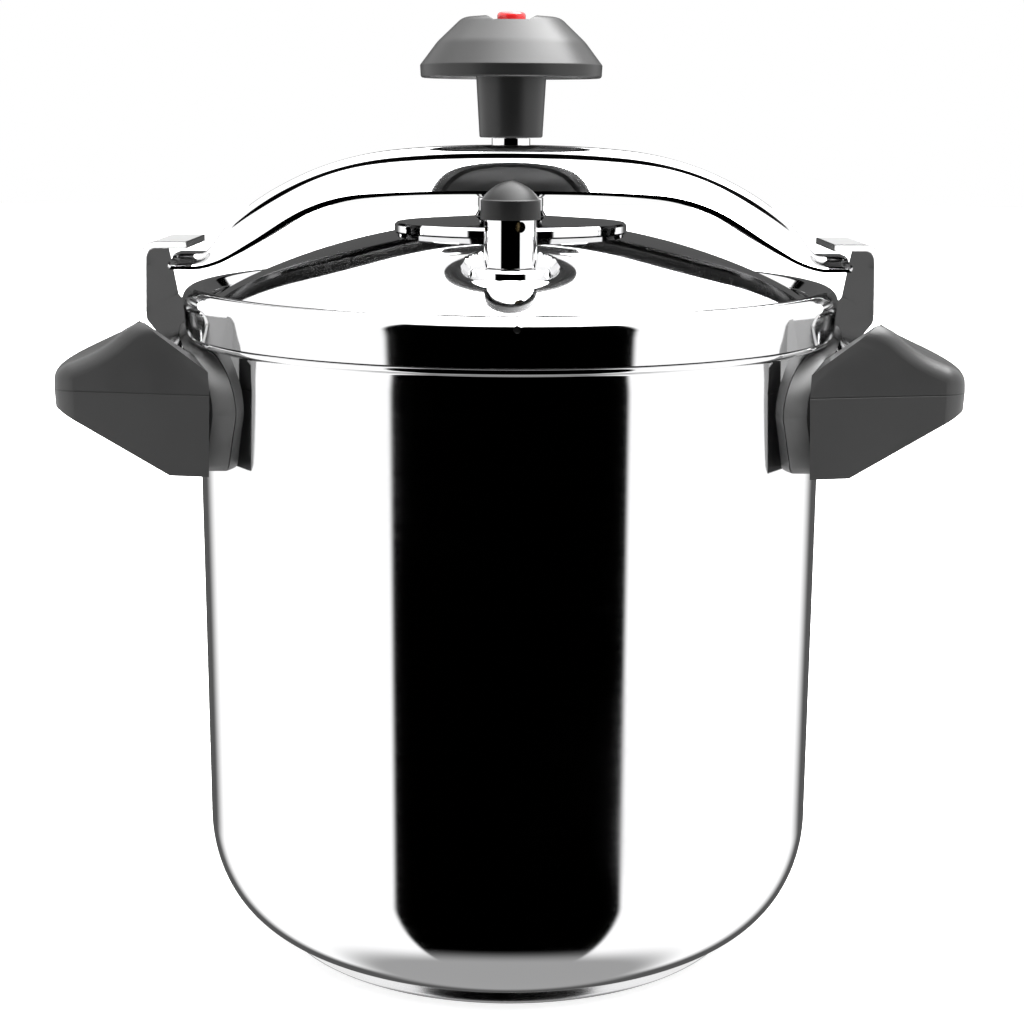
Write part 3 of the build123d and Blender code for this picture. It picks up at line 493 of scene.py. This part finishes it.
LID_RADIUS = 126.8
LID_EDGE_Z = corner("lid", 0)[2]
LID_SHEET = 1.2
BEAD_TOP_Z = 258.0
CREASE_RADIUS = 115.0
DOME_RADIUS = 245.0
DOME_TOP = 282.3
RECESS_RADIUS = 11.0
RECESS_Z = corner("bearing_washer", 0)[2]
SEAT_Z = corner("valve_collar", 0)[2]
VALVE_REACH = 75.0
SEAT_FLAT = 15.2
SEAT_BLEND = 2.4
SEAT_ZONE = (54, 96)
FINE_STEP = 0.9
COARSE_STEP = 2.4
RELIEF_RADIUS = 1.3
RELIEF_DEPTH = 10
RELIEF_PLACE = (2.3, -125.8, 254.0)


def dome_z(radius):
    """Height of the lid's dome, in mm, at a radius."""
    return DOME_TOP - DOME_RADIUS + sqrt(DOME_RADIUS**2 - radius**2)


# ------------------------------------------------------------------ pot and base
def make_pot():
    """The pot's shell: flat floor, rounded corner, straight wall and a flange at the rim."""
    wall_top = (POT_RADIUS, POT_RIM_Z - FLANGE_HEIGHT)
    inside = POT_RADIUS - POT_WALL
    centre = (POT_RADIUS - CORNER_ACROSS, POT_FLOOR_Z + CORNER_UP)
    inner_radii = (CORNER_ACROSS - POT_WALL, CORNER_UP - POT_WALL)
    outer = [(0.0, POT_FLOOR_Z)]
    outer += arc_points(centre, (CORNER_ACROSS, CORNER_UP), 270, 360, CORNER_STEPS)
    rim = rounded(
        [
            (POT_RADIUS, centre[1] + 1),
            wall_top,
            (FLANGE_RADIUS, wall_top[1]),
            (FLANGE_RADIUS, POT_RIM_Z),
            (inside, POT_RIM_Z),
            (inside, POT_RIM_Z - 8),
        ],
        [1.0, 1.1, 1.1, 1.0],
    )
    inner = arc_points(centre, inner_radii, 360, 270, CORNER_STEPS)
    profile = refined(outer + rim, LONG_RUN) + refined(inner, LONG_RUN)
    profile.append((0.0, POT_FLOOR_Z + POT_WALL))
    mesh = lathe_mesh("pot_shell", profile, segments=384)
    look = MATERIALS["polished_steel"]
    make_object("pot_shell", mesh, look, "vessel", "polished_steel", "pot_body")


def make_base_cup():
    """The steel cup pressed over the heat spreader under the pot."""
    line = [(0, 0), (BASE_RADIUS, 0), (BASE_RADIUS, POT_FLOOR_Z)]
    outer = refined(rounded(line, [BASE_CORNER], steps=10), 5.0)
    mesh = lathe_mesh("base_cup", thickened(outer, BASE_WALL), segments=384)
    make_object("base_cup", mesh, MATERIALS["satin_steel"], "vessel", "satin_steel", "base_cap")


# ------------------------------------------------------------------ lid
def press_seats(mesh):
    """Sinks or raises the dome to a flat seat round each valve, as a press tool does."""
    for vertex in mesh.vertices:
        x, y = vertex.co.x / MM, vertex.co.y / MM
        radius = sqrt(x * x + y * y)
        if radius > CREASE_RADIUS - 8:
            continue
        reach = sqrt(x * x + (abs(y) - VALVE_REACH) ** 2)
        share = min(max((SEAT_FLAT + SEAT_BLEND - reach) / SEAT_BLEND, 0.0), 1.0)
        share = share * share * (3 - 2 * share)
        vertex.co.z += (SEAT_Z - dome_z(radius)) * share * MM


def make_lid():
    """The domed lid with its rolled bead, the spindle's recess, two valve seats and a small hole.

    The seats are left closed, and the valves' fittings pass through them.
    """
    lip = RECESS_RADIUS + 2
    dome = [(0.0, RECESS_Z), (RECESS_RADIUS, RECESS_Z), (lip, dome_z(lip))]
    radius = lip
    while radius < CREASE_RADIUS - 1:
        radius += FINE_STEP if SEAT_ZONE[0] < radius < SEAT_ZONE[1] else COARSE_STEP
        dome.append((radius, dome_z(radius)))
    rim = rounded(
        [
            dome[-1],
            (CREASE_RADIUS, dome_z(CREASE_RADIUS)),
            (CREASE_RADIUS + 4, BEAD_TOP_Z),
            (LID_RADIUS, BEAD_TOP_Z - 0.2),
            (LID_RADIUS - 1, LID_EDGE_Z),
        ],
        [1.4, 2.5, 5.0],
        steps=10,
    )
    outer = dome + refined(rim[1:], 2.0)
    mesh = lathe_mesh("lid_shell", thickened(outer, -LID_SHEET), segments=512)
    press_seats(mesh)
    mesh = bored(mesh, RELIEF_RADIUS, RELIEF_DEPTH, RELIEF_PLACE, (pi / 2, 0, 0))
    make_object("lid_shell", mesh, MATERIALS["polished_steel"], "lid", "polished_steel", "lid")


# ------------------------------------------------------------------ bridge
CROWN_LINE = (
    (0, 311.0, 0),
    (43.5, 309.1, -0.1),
    (81.5, 298.9, -0.47),
    (108.6, 281.2, -0.92),
    (119.6, 269.6, 0),
    (130.0, 269.6, 0),
)
EDGE_LINE = (
    (0, 293.0, 0),
    (55.0, 291.3, -0.1),
    (79.2, 284.2, -0.48),
    (98.4, 273.0, -0.55),
    (113.0, 265.7, -0.3),
    (120.0, 264.3, 0),
    (130.0, 264.3, 0),
)
BRIDGE_HALF = corner("bridge", 1)[1]
BRIDGE_END = corner("bridge", 1)[0]
BRIDGE_SHEET = 2.0
CROWN_HALF = 9.8
CROWN_CORNER = 4.0
CROWN_SHARE = 0.3
EDGE_LIP = 1.3
LIP_SWELL = 1.1
LIP_SWELL_X = 80.0
LIP_SWELL_REACH = 24.0
HOLLOW_FADE = (98.0, 107.0)
FLANK_TOP_PULL = (0.12, -0.36)
FLANK_FOOT_PULL = (-0.38, 0.30)
STATION_STEP = 1.5
END_ROUND = 0.7
NECK_RADIUS = 6.9
NECK_DEPTH = 12
SHADE_MARGIN = 0.2


def height_on(line, x):
    """Height at x on a line of (x, z, slope) knots joined by cubic curves."""
    for (x0, z0, m0), (x1, z1, m1) in zip(line, line[1:]):
        if x <= x1:
            span = x1 - x0
            t = (x - x0) / span
            start = z0 * (1 + 2 * t) + m0 * span * t
            end = z1 * (3 - 2 * t) + m1 * span * (t - 1)
            return start * (1 - t) ** 2 + end * t**2
    return line[-1][1]


def bezier(points, steps):
    """Points on a cubic curve after its first point, up to and including its last."""
    first, second, third, last = (Vector(point) for point in points)
    result = []
    for i in range(1, steps + 1):
        t = i / steps
        u = 1 - t
        near_start = first * u**3 + second * 3 * u * u * t
        result.append(tuple(near_start + third * 3 * u * t * t + last * t**3))
    return result


def bridge_loop(x, inset):
    """Closed (y, z) section of the bridge at x: outer skin, then the hollow's skin back.

    The hollow's skin stops at the middle plane, so only the rear half is hollow. The front half
    is solid, which is a known fault, because the pressing is hollow on both sides.
    """
    top_z = height_on(CROWN_LINE, x) - inset
    edge_z = height_on(EDGE_LINE, x) + inset
    half_width = BRIDGE_HALF - inset
    crown = CROWN_SHARE * (top_z - edge_z)
    lip = EDGE_LIP + LIP_SWELL * exp(-(((x - LIP_SWELL_X) / LIP_SWELL_REACH) ** 2))
    drop = top_z - crown - edge_z - lip
    side = arc_points((CROWN_HALF - CROWN_CORNER, top_z - crown), (CROWN_CORNER, crown), 90, 12, 9)
    start = side[-1]
    foot = (half_width - 0.5, edge_z + lip + 0.2)
    steep = (start[0] + FLANK_TOP_PULL[0] * drop, start[1] + FLANK_TOP_PULL[1] * drop)
    flat = (foot[0] + FLANK_FOOT_PULL[0] * drop, foot[1] + FLANK_FOOT_PULL[1] * drop)
    side += bezier((start, steep, flat, foot), 16)
    side += [(half_width - 0.12, edge_z + lip - 0.1), (half_width, edge_z + lip - 0.45)]
    side.append((half_width, edge_z))
    outer = [(-y, z) for y, z in reversed(side)] + [(0.0, top_z)] + side
    loop = thickened(outer, -BRIDGE_SHEET)
    share = min(max((x - HOLLOW_FADE[0]) / (HOLLOW_FADE[1] - HOLLOW_FADE[0]), 0.0), 1.0)
    count = len(outer)
    return outer + [(y, max(z + (edge_z - z) * share, edge_z)) for y, z in loop[count:]]


def make_bridge():
    """The bridge's pressing, polished outside, with its hollow painted near black as shade."""
    count = int((BRIDGE_END - 1) / STATION_STEP) + 1
    stations = [i * STATION_STEP for i in range(count)]
    stations += [BRIDGE_END - END_ROUND, BRIDGE_END]
    along = [-x for x in reversed(stations[1:])] + stations
    mesh = bpy.data.meshes.new("bridge_pressing")
    build = bmesh.new()
    rows = []
    for x in along:
        inset = max(0.0, abs(x) - BRIDGE_END + END_ROUND)
        section = bridge_loop(abs(x), inset)
        rows.append([build.verts.new((x * MM, y * MM, z * MM)) for y, z in section])
    for first, second in zip(rows, rows[1:]):
        for i in range(len(first)):
            j = (i + 1) % len(first)
            build.faces.new((first[i], first[j], second[j], second[i]))
    build.faces.new(rows[0])
    build.faces.new(rows[-1])
    bmesh.ops.recalc_face_normals(build, faces=build.faces)
    build.to_mesh(mesh)
    build.free()
    mesh = bored(mesh, NECK_RADIUS, NECK_DEPTH, (0, 0, corner("bridge", 1)[2]), (0, 0, 0))
    look = MATERIALS["polished_steel"]
    make_object("bridge_pressing", mesh, look, "bridge", "polished_steel", "bridge")
    # Painted shade: the downward faces inside the hollow get the near-black steel.
    mesh.materials.append(HOLLOW_SHADE_STEEL)
    for polygon in mesh.polygons:
        within = abs(polygon.center.y) / MM < BRIDGE_HALF - BRIDGE_SHEET + SHADE_MARGIN
        if within and polygon.normal.z < -0.1:
            polygon.material_index = 1


# ------------------------------------------------------------------ knob
TROUGH_HALF = 6.6
TROUGH_FLARE = 4.6
TROUGH_Z = 357.0
TROUGH_RISE = 0.6
STEM_BORE = 7.8
STEM_BORE_TOP_Z = 317.0
SHAFT_BORE = 6.4
CAP_BORE = 5.45
HEAD_RIM_Z = 336.0
HEAD_NECK = 30.8


def press_trough(mesh, top):
    """Lowers the crown of the knob into a shallow trough that runs front to back past the plug."""
    for vertex in mesh.vertices:
        z = vertex.co.z / MM
        if z < TROUGH_Z - 1:
            continue
        reach = (abs(vertex.co.x) / MM - TROUGH_HALF) / TROUGH_FLARE
        limit = TROUGH_Z + (top + TROUGH_RISE - TROUGH_Z) * max(reach, 0.0)
        vertex.co.z = min(z, limit) * MM


def make_knob():
    """The knob's moulding: mushroom head with its trough, and the hollow stem."""
    stem_z = corner("knob_body", 0)[2]
    radius = corner("knob_body", 1)[0]
    top = corner("knob_body", 1)[2]
    inside = [
        (CAP_BORE, top - 3.0),
        (CAP_BORE, top - 6),
        (SHAFT_BORE, top - 8),
        (SHAFT_BORE, STEM_BORE_TOP_Z),
        (STEM_BORE, STEM_BORE_TOP_Z),
    ]
    stem = rounded(
        [
            (STEM_BORE, STEM_BORE_TOP_Z),
            (STEM_BORE, stem_z),
            (12.1, stem_z),
            (13.5, HEAD_RIM_Z + 2.2),
            (28.8, HEAD_RIM_Z + 2.2),
            (HEAD_NECK, HEAD_RIM_Z),
        ],
        [0.3, 0.7, 1.6, 0.8],
    )
    head = rounded(
        [
            (HEAD_NECK, HEAD_RIM_Z),
            (radius - 0.25, HEAD_RIM_Z),
            (radius, HEAD_RIM_Z + 4.8),
            (28.2, 349.4),
            (18.6, 358.4),
            (9.5, top),
            (CAP_BORE, top - 1.0),
        ],
        [1.1, 0.9, 17, 6, 1.0],
        steps=14,
    )
    profile = refined(inside + stem[1:] + head[1:], 0.8)
    mesh = lathe_mesh("knob_head", profile, segments=320)
    press_trough(mesh, top)
    make_object("knob_head", mesh, KNOB_PLASTIC, "knob", "black_plastic", "knob_body")


# ------------------------------------------------------------------ studio
# Camera: metres and degrees. It looks along +Y, a little downwards.
CAMERA_BACK = 0.735
CAMERA_HEIGHT = 0.3228
CAMERA_PITCH = 12.0
CAMERA_ROLL = 0.28
CAMERA_YAW = -0.086
CAMERA_LENS = 65.9
# Light tent: radiances, and directions in degrees. Turn is taken from the front, lift from level.
FLOOR_GLOW = 0.7
SIDE_GLOW = 1.3
BACK_WALL = 0.1
PIT_GLOW = 0.42
SOFTBOX_GLOW = (2.6, 13.0)
SLOT_TURN = (41.0, 43.5)
BACK_TURN = (136, 152)
SOFTBOX_LIFT = (38, 50)
PIT_LIFT = (-52, -66)
BEAM_LOW_LIFT = 21.4
BEAM_LOW_FALL = 0.42
BEAM_HIGH_LIFT = 35.1
BEAM_HIGH_FALL = 0.73
BEAM_BLUR = 0.7


def make_camera():
    """The camera at the photograph's viewing angle."""
    data = bpy.data.cameras.new("camera")
    data.sensor_width = 36.0
    data.lens = CAMERA_LENS
    data.clip_start = 0.01
    camera = bpy.data.objects.new("camera", data)
    bpy.context.scene.collection.objects.link(camera)
    camera.location = (0.0, -CAMERA_BACK, CAMERA_HEIGHT)
    facing = Euler((radians(90 - CAMERA_PITCH), 0.0, radians(CAMERA_YAW))).to_matrix()
    rolled = facing @ Euler((0.0, 0.0, radians(CAMERA_ROLL))).to_matrix()
    camera.rotation_euler = rolled.to_euler()
    bpy.context.scene.camera = camera


def make_world():
    """A light tent: bright sides, a brighter softbox overhead and a dim patch underneath.

    A dark slot stands in front, and a dim wall stands behind, under a black band that falls off
    to both sides. The camera itself sees plain white.
    """
    world = bpy.data.worlds.new("light_tent")
    world.use_nodes = True
    bpy.context.scene.world = world
    nodes = Nodes(world.node_tree)
    towards = nodes.add("ShaderNodeTexCoord").outputs["Generated"]
    parts = nodes.add("ShaderNodeSeparateXYZ", {"Vector": towards})
    x, y, z = (parts.outputs[name] for name in "XYZ")
    ahead = nodes.math("MULTIPLY", y, -1.0)
    turn = nodes.math("ABSOLUTE", nodes.math("ARCTAN2", x, ahead))
    lift = nodes.math("ARCSINE", z)

    def fade(value, limits):
        """0 at the first limit and 1 at the second, both in degrees."""
        return nodes.span(value, radians(limits[0]), radians(limits[1]), smooth=True)

    def above(value, edge):
        """1 where value is over edge, with a slightly blurred border."""
        return nodes.span(nodes.math("SUBTRACT", value, edge), radians(-BEAM_BLUR), radians(BEAM_BLUR))

    off = nodes.math("SUBTRACT", pi, turn)
    beam_low = nodes.math("MULTIPLY_ADD", off, -BEAM_LOW_FALL, radians(BEAM_LOW_LIFT))
    beam_high = nodes.math("MULTIPLY_ADD", off, -BEAM_HIGH_FALL, radians(BEAM_HIGH_LIFT))
    wall = nodes.blend(above(lift, beam_low), BACK_WALL, 0.0)
    behind = nodes.math("MULTIPLY", fade(turn, BACK_TURN), above(beam_high, lift))
    band = nodes.math("MULTIPLY", fade(turn, SLOT_TURN), nodes.blend(behind, SIDE_GLOW, wall))
    softbox = nodes.span(x, -0.5, 0.5, *SOFTBOX_GLOW)
    capped = nodes.blend(fade(lift, SOFTBOX_LIFT), band, softbox)
    tent = nodes.blend(fade(lift, PIT_LIFT), capped, PIT_GLOW)
    seen = nodes.add("ShaderNodeBackground", {"Color": grey(1.0), "Strength": 1.0})
    lighting = nodes.add("ShaderNodeBackground", {"Color": tent, "Strength": 1.0})
    ray = nodes.add("ShaderNodeLightPath").outputs["Is Camera Ray"]
    both = nodes.add("ShaderNodeMixShader")
    nodes.feed(both.inputs[0], ray)
    nodes.feed(both.inputs[1], lighting.outputs["Background"])
    nodes.feed(both.inputs[2], seen.outputs["Background"])
    nodes.add("ShaderNodeOutputWorld", {"Surface": both.outputs["Shader"]})


def make_floor():
    """Plain pale table top under the pot."""
    mesh = bpy.data.meshes.new("floor")
    build = bmesh.new()
    bmesh.ops.create_grid(build, x_segments=2, y_segments=2, size=6.0)
    build.to_mesh(mesh)
    build.free()
    material, nodes, where = new_material("pale_floor")
    cloud = nodes.noise(where, 3.0, 3.0)
    colour = nodes.mix(cloud, grey(0.62), grey(0.66))
    inputs = {"Base Color": colour, "Roughness": 0.7, "Emission Color": grey(1.0)}
    inputs["Emission Strength"] = FLOOR_GLOW
    finish_material(nodes, inputs)
    mesh.materials.append(material)
    floor = bpy.data.objects.new("floor", mesh)
    bpy.context.scene.collection.objects.link(floor)
    floor.visible_glossy = False


def make_lamp(name, place, target, size, power):
    """A rectangular area lamp that lights matt surfaces and leaves no reflection of its own."""
    data = bpy.data.lights.new(name, "AREA")
    data.shape = "RECTANGLE"
    data.size = size[0]
    data.size_y = size[1]
    data.energy = power
    lamp = bpy.data.objects.new(name, data)
    bpy.context.scene.collection.objects.link(lamp)
    lamp.location = place
    lamp.rotation_euler = (Vector(target) - Vector(place)).to_track_quat("-Z", "Y").to_euler()
    lamp.visible_glossy = False


# ------------------------------------------------------------------ the scene
make_camera()
make_world()
make_floor()
make_lamp("top_softbox", (0.0, 0.2, 1.7), (0, 0, 0.1), (1.6, 1.6), 9.0)
dress_cad_nodes()
make_pot()
make_base_cup()
make_lid()
make_bridge()
make_knob()

bpy.context.scene.view_settings.view_transform = "Standard"
